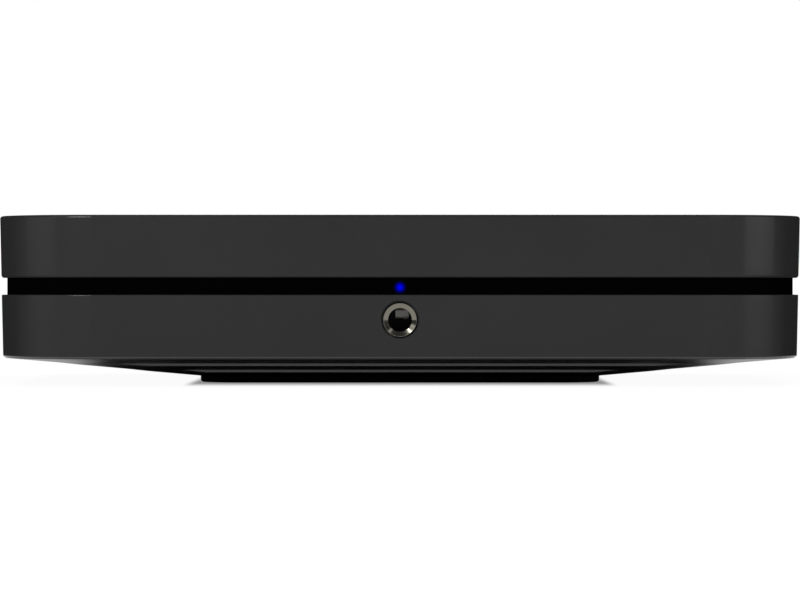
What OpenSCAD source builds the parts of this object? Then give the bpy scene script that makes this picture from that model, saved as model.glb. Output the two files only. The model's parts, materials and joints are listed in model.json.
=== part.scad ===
// Network music streamer: two drafted shells closed over a recessed dark band, on one wide foot.
// Frame: origin under the middle of the foot, +Z up, the front towards -Y, sizes in millimetres.

/* [Case] */
// Overall width, at the top edge
case_w = 220; // [198:1:242]
// Overall depth, at the top edge
case_d = 146; // [132:1:170]
// Plan radius of the case corners, at the top edge
corner_r = 27; // [22:1:32]
// Height of the upper shell's wall
upper_wall_h = 16.9; // [16:0.1:24]
// Height of the lower shell's wall
lower_wall_h = 17.1; // [16.4:0.1:22]
// Draft of the outer walls, which narrow downwards, in degrees
draft = 1.2; // [0:0.1:2]
// Wall thickness of both shells
wall = 2.2; // [1.9:0.1:2.8]
// Thickness of the upper shell's top plate
top_t = 2.4; // [2.2:0.1:4]
// Thickness of the lower shell's floor
floor_t = 2.2; // [1.6:0.1:2.6]
// Rounding of the top edge
top_edge_r = 0.7; // [0.3:0.1:1]
// Rounding of the upper shell's lower edge, over the groove
cover_edge_r = 0.8; // [0.3:0.1:1]
// Rounding of the lower shell's lower edge
wall_edge_r = 0.5; // [0.3:0.1:0.6]

/* [Underside] */
// Drop from the lower shell's wall to the foot
skirt_h = 5.6; // [3:0.1:8]
// Height of the upright lip where the underside leaves the wall
skirt_lip = 0.25; // [0.1:0.05:0.4]
// Height of each of the two steps in the underside
step_h = 0.65; // [0.3:0.05:0.8]
// Place of the outer step, as a share of the way in to the foot
outer_step = 0.38; // [0.3:0.01:0.5]
// Place of the inner step, as a share of the way in to the foot
inner_step = 0.68; // [0.6:0.01:0.85]
// Width of the foot
foot_w = 112; // [100:1:126]
// Depth of the foot
foot_d = 73; // [66:1:84]
// Height of the foot
foot_h = 1.8; // [1.5:0.1:4]
// Plan radius of the foot's corners
foot_r = 12; // [6:1:20]
// Rounding of the foot's lower edge
foot_edge_r = 0.8; // [0.3:0.1:1]

/* [Groove band] */
// Height of the open groove between the shells
gap_h = 4.6; // [4:0.1:7]
// Depth of the groove, from the shells' skin to the band
band_recess = 1.5; // [1:0.1:1.7]
// Thickness of the band's tongues
band_wall = 1.6; // [1.2:0.1:2]
// Reach of the band's tongues into each shell
band_lap = 1.8; // [1.2:0.1:1.9]

/* [Touch panel] */
// Width of the touch glass
touch_w = 96; // [70:1:110]
// Depth of the touch glass
touch_d = 42; // [30:1:46]
// Plan radius of the glass corners
touch_r = 6; // [3:1:10]
// Thickness of the touch glass
glass_t = 1.1; // [0.8:0.1:1.3]
// Thickness of the adhesive frame under the glass
gasket_t = 0.3; // [0.2:0.1:0.5]
// Width of the adhesive frame
gasket_w = 4; // [3:0.5:6]
// Distance from the front edge of the case to the glass
touch_setback = 20; // [15:1:30]
// Thickness of the touch board
touch_board_t = 1; // [0.8:0.1:1.2]

/* [Front jack and lamp] */
// Bore radius of the headphone jack, for a quarter-inch plug
plug_r = 3.2; // [3.19:0.01:3.3]
// Outer radius of the jack's metal bush
bush_r = 4.6; // [4.3:0.1:5]
// Height of the jack's moulded body
jack_h = 9.5; // [9:0.1:9.8]
// Width of the jack's moulded body
jack_w = 13; // [11:0.5:16]
// Depth of the bore, from the bush's face
jack_bore_l = 28; // [24:1:32]
// Distance from the lower shell's upper edge down to the jack's axis
jack_drop = 6.75; // [6.65:0.05:7]
// Radius of the status lamp's lens
lamp_r = 1.2; // [0.8:0.1:1.5]
// Drop of the lamp below the middle of the groove
lamp_drop = 0.3; // [0:0.1:0.4]

/* [Connector bay] */
// Depth of the bay at the rear
bay_depth = 10.5; // [10:0.5:14]
// Thickness of the bay's walls
bay_wall = 1.6; // [1.2:0.1:2]
// Free width at each end of the row of sockets
bay_margin = 2.5; // [2:0.5:4]
// Gap between neighbouring sockets
socket_gap = 1.9; // [1.7:0.1:2.2]
// Height of the board's upper face above the bay's sill
bay_drop = 2; // [1.9:0.1:2.4]

/* [Sockets] */
// Width of the mains inlet
inlet_w = 20.5; // [18:0.5:22]
// Height of the mains inlet
inlet_h = 12.4; // [11:0.2:13]
// Spacing of the mains pins
pin_pitch = 6.6; // [6.4:0.1:7]
// Radius of the mains pins
pin_r = 1.2; // [1:0.1:1.3]
// Width of the network socket
lan_w = 16.2; // [15.8:0.1:17]
// Height of the network socket
lan_h = 13.6; // [13:0.1:13.8]
// Width of the USB socket
usb_w = 13.3; // [13.2:0.1:14]
// Height of the USB socket
usb_h = 5.9; // [5.8:0.1:6.4]
// Width of the HDMI socket
hdmi_w = 14.8; // [14.6:0.1:15.4]
// Height of the HDMI socket
hdmi_h = 5.5; // [5.4:0.1:6]
// Width of the optical socket
optical_w = 9.8; // [9.6:0.1:10.6]
// Height of the optical socket
optical_h = 10; // [9.8:0.1:11]
// Width of a small jack socket
mini_w = 7; // [6.8:0.1:8]
// Height of a small jack socket's axis above the board
mini_axis_h = 3.2; // [3.1:0.1:4]
// Bore radius of a small jack socket
mini_r = 1.8; // [1.78:0.01:1.85]
// Pitch width of one phono socket
phono_w = 10.6; // [10.5:0.1:11]
// Height of a phono socket's axis above the board
phono_axis_h = 6.8; // [6:0.1:7.4]
// Outer radius of a phono socket's barrel
phono_r = 4.15; // [4.1:0.05:4.2]
// Length of a phono socket's barrel outside the bay's panel
phono_l = 9; // [8:0.5:9]

/* [Boards] */
// Thickness of the main and power boards
board_t = 1.6; // [1.2:0.1:1.6]
// Gap between the boards' edges and the case
board_clear = 1.2; // [0.6:0.1:2]
// Depth of the power board
psu_d = 95; // [93:1:100]

/* [Fasteners] */
// Radius of the case screws' shanks
case_screw_r = 1.4; // [1.2:0.1:1.5]
// Radius of the case screws' heads
case_head_r = 2.8; // [2.6:0.1:3]
// Radius of the pillars and bosses that the case screws pull together
pillar_r = 3.6; // [3.4:0.1:4.2]
// Radius of the board screws' shanks
board_screw_r = 1.1; // [0.9:0.1:1.3]
// Radius of the board screws' heads
board_head_r = 2.5; // [2.2:0.1:2.8]
// Radius of the posts under the boards
post_r = 3; // [2.6:0.1:3.4]

/* [Clearances] */
// Gap around a piece that drops into a pocket
fit = 0.15; // [0.1:0.05:0.2]
// Radial gap around the shutter's trunnions
pivot_gap = 0.06; // [0.03:0.01:0.08]

/* [Hidden] */
$fn = 64;
corner_fn = 96;
corner_steps = 12;
// Overrun of a cut beyond the face that it opens
over = 1;
// Overlap that joins two blocks of one piece
lip = 0.2;

// Heights of the case, from the ground up
z_wall0 = foot_h + skirt_h;
z_wall1 = z_wall0 + lower_wall_h;
z_cover0 = z_wall1 + gap_h;
z_top = z_cover0 + upper_wall_h;
z_groove = (z_wall1 + z_cover0) / 2;

// Plan of the case: the corner centres, and the skin's distance out from them at a height
core_x = case_w / 2 - corner_r;
core_y = case_d / 2 - corner_r;
function skin(z) = corner_r - (z_top - z) * tan(draft);
function front_y(z) = -(core_y + skin(z));
function front_inner_y(z) = front_y(z) + wall;
// Distance back to a wall's face at a place across the case, for a face that far out from the corner centres
function back_y(x, out) = core_y + (abs(x) > core_x ? sqrt(out * out - pow(abs(x) - core_x, 2)) : out);

// Underside: outline where it leaves the wall, outline at the foot, and its plain slope
under_margin = wall_edge_r + 0.1;
under_r0 = skin(z_wall0) - under_margin;
under_size0 = [2 * (core_x + under_r0), 2 * (core_y + under_r0)];
foot_ledge = 0.5;
under_r1 = foot_r + foot_ledge;
under_size1 = [foot_w + 2 * foot_ledge, foot_d + 2 * foot_ledge];
slope_h = skirt_h - 2 * step_h;
slope_lip = 0.05;
at_wall = [0, 0];
at_foot = [1, 1];
function lerp(a, b, t) = a + (b - a) * t;
function way_in(half, half0, half1) = min(1, max(0, (half0 - abs(half)) / (half0 - half1)));
function slope_z(x, y) = z_wall0 - slope_h * min(
    way_in(x, under_size0.x / 2, under_size1.x / 2), way_in(y, under_size0.y / 2, under_size1.y / 2));

// Screws: those of the case stand under the foot
thread_gap = 0.05;
hole_gap = 0.3;
tip_gap = 1;
case_screw_inset = [9, 8.5];
case_screws_at = [for (sx = [-1, 1], sy = [-1, 1])
    [sx * (foot_w / 2 - case_screw_inset.x), sy * (foot_d / 2 - case_screw_inset.y)]];
case_head_h = 2;
case_head_sink = 0.4;
case_bite = 8;
board_head_h = 1.6;
board_bite = 2.4;

// Touch panel, and the ribbon down to the main board
touch_y = -case_d / 2 + touch_setback + touch_d / 2;
touch_window = [touch_w - 2 * gasket_w, touch_d - 2 * gasket_w];
touch_window_r = 1;
touch_board_z = z_top - glass_t - touch_board_t;
glass_edge_r = 0.3;
ribbon_x = -28;
ribbon_w = 10;
ribbon_t = 0.3;
ribbon_run = 4;
ribbon_bend_r = 3;
ribbon_socket = [13, 5, 1.2];

// Front jack, and the boards that follow it
jack_z = z_wall1 - jack_drop;
board_top = jack_z - jack_h / 2;
board_z = board_top - board_t;
bush_sink = 0.2;
bush_y = front_y(jack_z) + bush_sink;
bush_edge = 0.1;
bush_mouth = 0.5;
bush_flange_l = wall + 0.4;
bush_nose_r = plug_r + 0.7;
bush_nose_l = 5;
jack_hole_gap = 0.35;
jack_hole_r = bush_r + jack_hole_gap;
jack_hole_edge = 0.25;
jack_y = front_inner_y(jack_z) + fit;
jack_end = 2;
jack_l = bush_y + jack_bore_l + jack_end - jack_y;
jack_spring_w = 2.4;
jack_spring_t = 0.4;
jack_spring_tip = plug_r + 0.1;
jack_spring_out = jack_w / 2 + 0.6;
sleeve_depth = 12;
ring_depth = 17;
tip_depth = 23;
// Side and place of each spring
jack_springs = [[1, bush_y + sleeve_depth], [-1, bush_y + ring_depth], [1, bush_y + tip_depth]];

// Band, and the lamp's lens through it on a small upright board
band_out = skin(z_wall1) - band_recess;
tongue_out = skin(z_wall1 - band_lap) - wall - fit;
tongue_in = tongue_out - band_wall;
lamp_z = z_groove - lamp_drop;
lamp_flange_r = lamp_r + 0.8;
lamp_flange_t = 1.2;
lamp_board_size = [20, 1.2, 7];
lamp_board_y = -(core_y + tongue_in) + lamp_flange_t;
lamp_pin_r = 0.4;
lamp_pin_x = 9;

// Row of sockets across the rear, as seen from the front: the mains inlet is on the left
INLET = 0;
LAN = 1;
USB = 2;
HDMI = 3;
OPTICAL = 4;
AUDIO_IN = 5;
TRIGGER = 6;
INFRARED = 7;
COAX = 8;
SUB = 9;
RIGHT = 10;
LEFT = 11;
socket_widths = [inlet_w, lan_w, usb_w, hdmi_w, optical_w, mini_w, mini_w, mini_w,
    phono_w, phono_w, phono_w, phono_w];
function sum_to(list, n) = n <= 0 ? 0 : list[n - 1] + sum_to(list, n - 1);
row_w = sum_to(socket_widths, len(socket_widths)) + socket_gap * (len(socket_widths) - 1);
function socket_x(i) = sum_to(socket_widths, i) + socket_widths[i] / 2 + i * socket_gap - row_w / 2;

// Bay: a moulded tray in the rear wall, with the sockets' panel at its bottom
bay_w = row_w + 2 * (bay_margin + bay_wall);
bay_z0 = board_top - bay_drop;
bay_z1 = z_cover0 - fit;
panel_y = case_d / 2 - bay_depth;
panel_in = panel_y - bay_wall;
panel_gap = 0.25;
rim_setback = 0.3;
bay_rim_y = back_y(bay_w / 2, skin(bay_z0)) - rim_setback;
ear_w = 2.5;
ear_t = 1.2;
ear_gap = 0.4;
ear_y = back_y(bay_w / 2 + ear_w, skin(bay_z0) - wall) - ear_gap;
ear_z1 = z_wall1 - band_lap - 2 * fit;

// Mains inlet
inlet_z = board_top + inlet_h / 2;
inlet_l = 17;
inlet_face = panel_y + 0.5;
inlet_cavity = 12.5;
inlet_lobe_r = 4.1;
inlet_lobe_x = pin_pitch / 2 + 0.2;
inlet_waist = 6.6;
pin_l = 8.5;

// Network, USB and HDMI sockets
sheet_t = 0.35;
lan_l = 21;
lan_face = panel_y + 0.3;
lan_inset = 0.4;
lan_port = [11.8, 13, 6.8];
lan_port_h = 5;
lan_port_z = board_top + lan_port_h;
lan_latch = [6.2, 1.7];
lan_catch = [3.6, 1.3];
lan_wire = [0.4, 9, 0.4];
lan_wires = 8;
lan_pitch = 1.02;
usb_face = panel_y + 0.6;
usb_l = 14;
usb_block_l = 3.5;
usb_tongue_size = [11.1, 11.5, 1.9];
usb_tongue_gap = 0.4;
hdmi_l = 11;
hdmi_cut = 2.2;
hdmi_cut_inner = 2.1;
hdmi_shoulder = 0.4;
hdmi_block_l = 3;
hdmi_tongue_size = [10, 8.5, 1.2];
hdmi_tongue_drop = 0.4;

// Optical socket: a cavity behind a mouth, closed by a shutter that hangs on two trunnions
optical_side = 0.9;
optical_front = 1.2;
optical_rear = 3;
optical_cavity = [optical_w - 2 * optical_side, 9.5, optical_h - 2];
optical_mouth = 6.6;
optical_z = board_top + optical_h / 2;
optical_face = panel_y + 0.5;
optical_in = optical_face - optical_front;
optical_back = optical_in - optical_cavity.y;
optical_l = optical_front + optical_cavity.y + optical_rear;
emitter_r = 1.6;
emitter_l = 1;
shutter_t = 0.8;
shutter_gap = 0.1;
shutter_side = 0.3;
trunnion_r = 0.5;
trunnion_l = 0.75;
knuckle_r = 0.65;
pivot_in = 0.8;
pivot_y = optical_in - pivot_in;
pivot_z = optical_z + optical_cavity.z / 2 - pivot_in;
shutter_w = optical_cavity.x - 2 * shutter_side;
shutter_h = optical_cavity.z - pivot_in - shutter_side;

// Small jack sockets
mini_z = board_top + mini_axis_h;
mini_nose_r = mini_r + 1.2;
mini_body_l = 12;
mini_bore_l = 14;
mini_face = panel_y + 1;

// Phono sockets, along their axis from the panel's inner face
phono_z = board_top + phono_axis_h;
phono_flange_t = 1;
phono_flange_lap = 0.95;
phono_flange_r = phono_r + phono_flange_lap;
phono_neck_lap = 0.45;
phono_neck_r = phono_r + phono_neck_lap;
phono_block_y = panel_in - phono_flange_t;
phono_block_l = 11;
phono_block_cap = 1;
phono_tip = panel_y + phono_l;
phono_barrel_t = 0.6;
phono_bore_r = phono_r - phono_barrel_t;
phono_edge = 0.3;
phono_recess = 0.6;
phono_pin_r = 1.7;
contact_t = 0.5;
contact_r = phono_pin_r + contact_t;
contact_l = 6;
contact_base = 0.5;

// Boards: the power board in front of the inlet, the main board in front of the other sockets
board_gap = 1;
board_y1 = panel_in - 0.4;
board_out = skin(board_z) - wall - board_clear;
split_x = socket_x(INLET) + inlet_w / 2 + socket_gap / 2;
psu_x0 = -(core_x + board_out);
psu_x1 = split_x - board_gap / 2;
psu_y0 = board_y1 - psu_d;
main_x0 = split_x + board_gap / 2;
main_x1 = core_x + board_out;
main_y0 = -(core_y + board_out);
post_inset = 5;
piece_gap = 1.5;

// Pieces on the power board, in rows from the inlet towards the front
fuse_r = 2.5;
fuse_l = 20;
fuse_lift = 1;
fuse_z = board_top + fuse_lift + fuse_r;
clip_w = 4;
clip_d = 6.6;
choke_ring_r = 4.5;
choke_coil_r = 2.6;
choke_r = choke_ring_r + choke_coil_r;
mains_cap_r = 6.5;
mains_cap_h = 22;
plug = [5, 14, 6];
plug_inset = 4;
wires = 5;
wire_r = 0.7;
wire_pitch = 2.4;
psu_sink = [16, 6, 20];
psu_sink_t = 1.6;
psu_fins = 4;
core = [24, 22, 5];
limb_r = 4;
limb_w = 3;
coil_r = 8;
coil_h = 9;
psu_mid_x = (psu_x0 + psu_x1) / 2;
psu_post_y = inlet_face - inlet_l - board_head_r - piece_gap;
fuse_y = psu_post_y - board_head_r - piece_gap - clip_d / 2;
filter_y = fuse_y - clip_d / 2 - piece_gap - choke_r;
plug_y = filter_y - choke_r - piece_gap - plug.y / 2;
coil_y = plug_y - plug.y / 2 - piece_gap - core.y / 2;

// Pieces on the main board: the processor in the middle, the others along the right, from the front
chip_at = [0, -2];
chip = [17, 17, 1.4];
pad = [15, 15, 0.8];
sink = [40, 34, 12];
sink_base = 2.5;
fin_t = 1.2;
fins = 9;
wireless = [18, 24, 3];
wireless_y = main_y0 + 2 * post_inset + board_head_r + wireless.y / 2;
can_r = 3.15;
can_h = 8;
can_pitch = 9;
can_rows = 3;
can_y = wireless_y + wireless.y / 2 + piece_gap + can_r;
audio_chip = [9, 9, 1.2];
audio_chip_pitch = 12;
audio_chip_y = can_y + (can_rows - 1) * can_pitch + can_r + piece_gap + audio_chip.y / 2;
right_x = main_x1 - post_inset - board_head_r - piece_gap;
antenna = [12, 42, 0.6];
antenna_inset = [30, 40];

// Posts under the boards
main_posts_at = [
    [main_x0 + post_inset, main_y0 + post_inset],
    [core_x, main_y0 + post_inset],
    [main_x0 + post_inset, plug_y - plug.y / 2 - piece_gap - board_head_r],
    [main_x1 - post_inset, phono_block_y - phono_block_l - piece_gap - board_head_r]];
psu_posts_at = [
    [psu_x0 + post_inset, psu_y0 + post_inset],
    [psu_x1 - 3 * post_inset, psu_y0 + post_inset],
    [psu_x0 + post_inset, psu_post_y],
    [psu_x1 - post_inset, psu_post_y]];
posts_at = concat(main_posts_at, psu_posts_at);

// Colours, as the photograph shows them
case_grey = "#333333";
band_black = "#050505";
rubber_black = "#0a0a0a";
moulded_black = "#161616";
insert_black = "#1d1d1f";
chip_black = "#202225";
connector_cream = "#e4e0d2";
board_green = "#14502c";
sink_grey = "#8a8d90";
nickel = "#b9b6ab";
tinplate = "#a8abad";
gold = "#c9a24a";

// Points along an arc, for the rounded corners of profiles
function arc(centre, r, from, to, steps = 5) = [for (i = [0:steps])
    centre + r * [cos(lerp(from, to, i / steps)), sin(lerp(from, to, i / steps))]];

// Section of a solid block with rounded edges: x is the distance out from the corner centres
function block_profile(out0, out1, z0, z1, edge0, edge1) = concat(
    [[0, z0]],
    edge0 > 0 ? arc([out0 - edge0, z0 + edge0], edge0, -90, 0) : [[out0, z0]],
    edge1 > 0 ? arc([out1 - edge1, z1 - edge1], edge1, 0, 90) : [[out1, z1]],
    [[0, z1]]);

module rounded_rect(size, r) {
    square([size.x - 2 * r, size.y], center = true);
    square([size.x, size.y - 2 * r], center = true);
    for (sx = [-1, 1], sy = [-1, 1])
        translate([sx * (size.x / 2 - r), sy * (size.y / 2 - r)])
            circle(r, $fn = corner_fn);
}

// Sweeps a section round a rectangle of corner centres
module sweep_round(core) {
    for (turn = [0:3])
        rotate([0, 0, 90 * turn]) {
            half = turn % 2 == 0 ? core : [core.y, core.x];
            translate([half.x, half.y, 0]) {
                rotate_extrude(angle = 90, $fn = corner_fn)
                    children();
                rotate([90, 0, 0])
                    linear_extrude(2 * half.y)
                        children();
            }
        }
}

// Solid block whose edge has the given section, from the corner centres out
module swept_block(core, profile) {
    heights = [for (p = profile) p.y];
    sweep_round(core)
        polygon(profile);
    translate([-core.x, -core.y, min(heights)])
        cube([2 * core.x, 2 * core.y, max(heights) - min(heights)]);
}

// Block with the case's drafted skin, moved in by an inset
module case_block(z0, z1, inset = 0, edge0 = 0, edge1 = 0) {
    swept_block([core_x, core_y],
        block_profile(skin(z0) - inset, skin(z1) - inset, z0, z1, edge0, edge1));
}

// Points round a rounded rectangle at a height, counter-clockwise seen from above
function ring(size, r, z) = [for (c = [0:3], i = [0:corner_steps])
    let (a = 90 * (c + i / corner_steps))
    [(c == 0 || c == 3 ? 1 : -1) * (size.x / 2 - r) + r * cos(a),
        (c < 2 ? 1 : -1) * (size.y / 2 - r) + r * sin(a), z]];

// Ring of the underside, at its shares of the way in to the foot at the sides and at the front
function under_ring(share, z, inset = 0) = ring(
    [for (i = [0, 1]) lerp(under_size0[i], under_size1[i], share[i]) - 2 * inset],
    lerp(under_r0, under_r1, (share.x + share.y) / 2) - inset, z);

// Solid through a stack of rings, from the top one down
module loft(rings) {
    n = len(rings[0]);
    last = len(rings) - 1;
    sides = [for (k = [0:last - 1], i = [0:n - 1])
        let (j = (i + 1) % n)
        [k * n + i, k * n + j, (k + 1) * n + j, (k + 1) * n + i]];
    polyhedron(
        points = [for (r = rings) each r],
        faces = concat([[for (i = [n - 1:-1:0]) i]], sides, [[for (i = [0:n - 1]) last * n + i]]));
}

module along_x(x0, x1, r) {
    translate([x0, 0, 0])
        rotate([0, 90, 0])
            cylinder(r = r, h = x1 - x0);
}

module along_y(y0, y1, r) {
    translate([0, y0, 0])
        rotate([-90, 0, 0])
            cylinder(r = r, h = y1 - y0);
}

// Box from one corner to another
module box(from, to) {
    translate(from)
        cube(to - from);
}

// Block centred on a place, standing at a height
module stand(at, z, size) {
    translate([at.x - size.x / 2, at.y - size.y / 2, z])
        cube(size);
}

// Casing

module top_shell() {
    color(case_grey)
        difference() {
            union() {
                difference() {
                    case_block(z_cover0, z_top, 0, cover_edge_r, top_edge_r);
                    case_block(z_cover0 - over, z_top - top_t, wall);
                }
                for (p = case_screws_at)
                    translate([p.x, p.y, z_cover0])
                        cylinder(r = pillar_r, h = upper_wall_h - top_t / 2);
            }
            for (p = case_screws_at)
                translate([p.x, p.y, z_cover0 - over])
                    cylinder(r = case_screw_r + thread_gap, h = over + case_bite + tip_gap);
            translate([0, touch_y, z_top - glass_t - gasket_t])
                linear_extrude(top_t)
                    rounded_rect([touch_w + 2 * fit, touch_d + 2 * fit], touch_r + fit);
            translate([0, touch_y, z_top - top_t - over])
                linear_extrude(top_t + over)
                    touch_opening();
        }
}

// Opening for the touch board, inside the glass's seat
module touch_opening() {
    rounded_rect([touch_window.x + 2 * fit, touch_window.y + 2 * fit], touch_window_r);
}

module lower_shell() {
    color(case_grey)
        difference() {
            union() {
                difference() {
                    union() {
                        case_block(z_wall0, z_wall1, 0, wall_edge_r, wall_edge_r / 2);
                        underside();
                    }
                    case_block(z_wall0 + floor_t, z_wall1 + over, wall);
                    floor_hollow();
                }
                for (p = case_screws_at)
                    translate([p.x, p.y, foot_h])
                        cylinder(r = pillar_r, h = z_cover0 - foot_h);
                for (p = posts_at)
                    translate([p.x, p.y, slope_z(p.x, p.y) + floor_t / 2])
                        cylinder(r = post_r, h = board_z - slope_z(p.x, p.y) - floor_t / 2);
            }
            for (p = case_screws_at)
                translate([p.x, p.y, foot_h - over]) {
                    cylinder(r = case_screw_r + hole_gap, h = z_cover0);
                    cylinder(r = case_head_r + hole_gap, h = over + case_head_sink + case_head_h);
                }
            for (p = posts_at)
                translate([p.x, p.y, board_z - board_bite - tip_gap])
                    cylinder(r = board_screw_r + thread_gap, h = board_bite + tip_gap + over);
            translate([0, 0, jack_z])
                along_y(front_y(jack_z) - over, jack_y, jack_hole_r);
            translate([0, front_y(jack_z) - jack_hole_edge, jack_z])
                rotate([-90, 0, 0])
                    cylinder(r1 = jack_hole_r + 2 * jack_hole_edge, r2 = jack_hole_r,
                        h = 2 * jack_hole_edge);
            box([-bay_w / 2 - fit, panel_in - fit, bay_z0],
                [bay_w / 2 + fit, case_d / 2 + over, z_wall1 + over]);
        }
}

// Ring at an edge of a step, which lies on the plain slope of the sides
function step_ring(share, z) = under_ring([(z_wall0 - skirt_lip - z) / (skirt_h - skirt_lip), share], z);

// Underside of the lower shell: two steps at the front and rear, running out into plain slopes at the sides
module underside() {
    z_outer = z_wall0 - slope_h * outer_step;
    z_inner = z_wall0 - slope_h * inner_step - step_h;
    loft([under_ring(at_wall, z_wall0 + wall_edge_r), under_ring(at_wall, z_wall0 - skirt_lip),
        step_ring(outer_step, z_outer), step_ring(outer_step, z_outer - step_h),
        step_ring(inner_step, z_inner), step_ring(inner_step, z_inner - step_h),
        under_ring(at_foot, foot_h)]);
}

// Hollow above the sloping floor
module floor_hollow() {
    z = z_wall0 + floor_t;
    loft([under_ring(at_wall, z + lip, wall), under_ring(at_wall, z - slope_lip, wall),
        under_ring(at_foot, z - slope_h, wall)]);
}

// Band between the shells: a recessed face with a tongue into each shell, open at the bay
module centre_band() {
    color(band_black)
        difference() {
            sweep_round([core_x, core_y])
                polygon([[tongue_in, z_wall1 - band_lap], [tongue_out, z_wall1 - band_lap],
                    [tongue_out, z_wall1], [band_out, z_wall1], [band_out, z_cover0],
                    [tongue_out, z_cover0], [tongue_out, z_cover0 + band_lap],
                    [tongue_in, z_cover0 + band_lap]]);
            box([-bay_w / 2 - fit, 0, z_wall1 - band_lap - over],
                [bay_w / 2 + fit, case_d, z_cover0 + band_lap + over]);
            translate([0, 0, lamp_z])
                along_y(-case_d, 0, lamp_r + thread_gap);
        }
}

module rubber_foot() {
    color(rubber_black)
        swept_block([foot_w / 2 - foot_r, foot_d / 2 - foot_r],
            block_profile(foot_r, foot_r, 0, foot_h, foot_edge_r, 0));
}

// Tray of the connector bay, with ears that stop it behind the rear wall
module rear_panel() {
    color(moulded_black)
        difference() {
            union() {
                box([-bay_w / 2, panel_in, bay_z0], [bay_w / 2, bay_rim_y, bay_z1]);
                box([-bay_w / 2 - ear_w, ear_y - ear_t, bay_z0], [bay_w / 2 + ear_w, ear_y, ear_z1]);
            }
            box([-bay_w / 2 + bay_wall, panel_y, bay_z0 + bay_wall],
                [bay_w / 2 - bay_wall, case_d, bay_z1 - bay_wall]);
            panel_cut(INLET, inlet_h);
            panel_cut(LAN, lan_h);
            panel_cut(USB, usb_h);
            panel_cut(HDMI, hdmi_h);
            panel_cut(OPTICAL, optical_h);
            for (i = [AUDIO_IN:INFRARED])
                translate([socket_x(i), 0, mini_z])
                    along_y(panel_in - over, panel_y + over, mini_nose_r + panel_gap);
            for (i = [COAX:LEFT])
                translate([socket_x(i), 0, phono_z])
                    along_y(panel_in - over, panel_y + over, phono_neck_r + panel_gap);
        }
}

// Window in the bay's panel for a square socket that stands on the board
module panel_cut(i, h) {
    half = socket_widths[i] / 2 + panel_gap;
    box([socket_x(i) - half, panel_in - over, board_top - panel_gap],
        [socket_x(i) + half, panel_y + over, board_top + h + panel_gap]);
}

// Touch panel

module touch_glass() {
    color("#030303")
        translate([0, touch_y, 0])
            swept_block([touch_w / 2 - touch_r, touch_d / 2 - touch_r],
                block_profile(touch_r, touch_r, z_top - glass_t, z_top, 0, glass_edge_r));
}

module touch_gasket() {
    color("#1c1c1c")
        translate([0, touch_y, z_top - glass_t - gasket_t])
            linear_extrude(gasket_t)
                difference() {
                    rounded_rect([touch_w, touch_d], touch_r);
                    touch_opening();
                }
}

module touch_board() {
    color(board_green)
        translate([0, touch_y, touch_board_z])
            linear_extrude(touch_board_t)
                rounded_rect(touch_window, touch_window_r);
}

// Clips that hold the ribbon's two ends: one under the touch board, one on the main board
module ribbon_sockets() {
    color(connector_cream)
        for (z = [touch_board_z - ribbon_socket.z, board_top])
            stand([ribbon_x, touch_y], z, ribbon_socket);
}

// Flat cable: out of the upper clip, down behind it, and back into the lower clip
module touch_ribbon() {
    upper = touch_board_z - ribbon_socket.z / 2;
    lower = board_top + ribbon_socket.z / 2;
    bend_y = ribbon_socket.y / 2 + ribbon_run;
    color("#d9d4c4")
        translate([ribbon_x - ribbon_w / 2, touch_y, 0])
            rotate([90, 0, 90])
                linear_extrude(ribbon_w) {
                    for (z = [lower, upper])
                        translate([bend_y - ribbon_run, z - ribbon_t / 2])
                            square([ribbon_run, ribbon_t]);
                    translate([bend_y + ribbon_bend_r - ribbon_t / 2, lower + ribbon_bend_r])
                        square([ribbon_t, upper - lower - 2 * ribbon_bend_r]);
                    ribbon_bend([bend_y, upper - ribbon_bend_r], 0);
                    ribbon_bend([bend_y, lower + ribbon_bend_r], -1);
                }
}

// Quarter turn of the ribbon about a centre: the upper right quarter, or the lower one with down = -1
module ribbon_bend(centre, down) {
    translate(centre)
        intersection() {
            difference() {
                circle(ribbon_bend_r + ribbon_t / 2);
                circle(ribbon_bend_r - ribbon_t / 2);
            }
            translate([0, down * 2 * ribbon_bend_r])
                square(2 * ribbon_bend_r);
        }
}

// Status lamp

module status_lamp() {
    color("#1a2bff")
        translate([0, 0, lamp_z]) {
            along_y(-(core_y + band_out), -(core_y + tongue_in), lamp_r);
            along_y(-(core_y + tongue_in), lamp_board_y, lamp_flange_r);
        }
}

module lamp_board() {
    color(board_green)
        translate([-lamp_board_size.x / 2, lamp_board_y, lamp_z - lamp_board_size.z / 2])
            cube(lamp_board_size);
}

// Two pins that carry the lamp's board above the main board
module lamp_pins() {
    color(gold)
        for (s = [-1, 1])
            translate([s * lamp_pin_x, lamp_board_y + lamp_board_size.y / 2, board_top])
                cylinder(r = lamp_pin_r, h = lamp_z - lamp_board_size.z / 2 - board_top);
}

// Headphone jack

// Bush with a conical mouth, a flange in the wall and a nose in the moulded body
module headphone_bush() {
    nose_end = bush_flange_l + bush_nose_l;
    color(nickel)
        translate([0, bush_y, jack_z])
            rotate([-90, 0, 0])
                rotate_extrude()
                    polygon([[bush_r - bush_edge, 0], [bush_r, bush_edge], [bush_r, bush_flange_l],
                        [bush_nose_r, bush_flange_l], [bush_nose_r, nose_end], [plug_r, nose_end],
                        [plug_r, bush_mouth], [bush_r - 2 * bush_edge, 0]]);
}

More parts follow.
